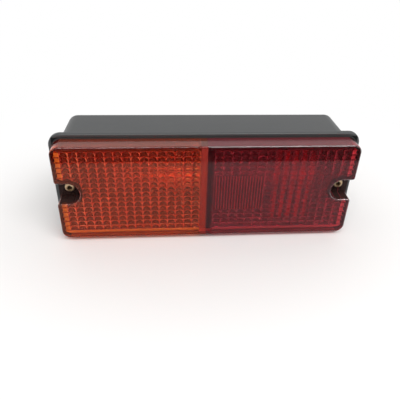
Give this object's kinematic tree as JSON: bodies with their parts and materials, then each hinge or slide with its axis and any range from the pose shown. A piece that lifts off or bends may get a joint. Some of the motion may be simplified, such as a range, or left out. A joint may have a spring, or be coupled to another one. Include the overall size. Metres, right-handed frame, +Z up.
{
  "type": "tail light cluster",
  "caption": "Oblong two-colour rear lamp: amber and red lens halves with pillow optics on a flanged black housing, with bulbs and holders inside.",
  "frame": {"origin": "midway between the two rear fixings, on the pad faces that meet the vehicle", "axes": "+X along the lamp toward the red half, +Y out of the back toward the vehicle, +Z up; the lens faces -Y"},
  "size_m": [0.175, 0.052, 0.0652],
  "materials": {
    "black_plastic": "satin moulded black",
    "black_rubber": "soft matt rubber",
    "amber_lens": "clear amber acrylic, polished outside",
    "red_lens": "clear red acrylic, polished outside",
    "yellow_zinc": "yellow zinc plate",
    "brass": "bright brass",
    "zinc_steel": "zinc-plated steel",
    "spring_steel": "spring steel",
    "brown_insulator": "brown laminate",
    "black_insulator": "black vitreous insulator with solder contacts",
    "clear_glass": "clear blown glass",
    "bulb_mount": "glass stem with nickel wires"
  },
  "bodies": {
    "root": {"housing": "black_plastic", "gasket": "black_rubber", "amber_lens": "amber_lens", "red_lens": "red_lens", "lens_screws": "yellow_zinc", "lens_screw_inserts": "brass", "rear_fixing_inserts": "brass", "cable_grommet": "black_rubber", "carrier_screws": "zinc_steel", "amber_bulb_carrier": "zinc_steel", "amber_bulb_holder": "zinc_steel", "amber_contact_disc": "brown_insulator", "amber_contact_pins": "brass", "amber_contact_spring": "spring_steel", "amber_bulb_cap": "brass", "amber_bulb_base": "black_insulator", "amber_bulb_glass": "clear_glass", "amber_filament": "bulb_mount", "red_bulb_carrier": "zinc_steel", "red_bulb_holder": "zinc_steel", "red_contact_disc": "brown_insulator", "red_contact_pins": "brass", "red_contact_spring": "spring_steel", "red_bulb_cap": "brass", "red_bulb_base": "black_insulator", "red_bulb_glass": "clear_glass", "red_filament": "bulb_mount"}
  },
  "joints": []
}
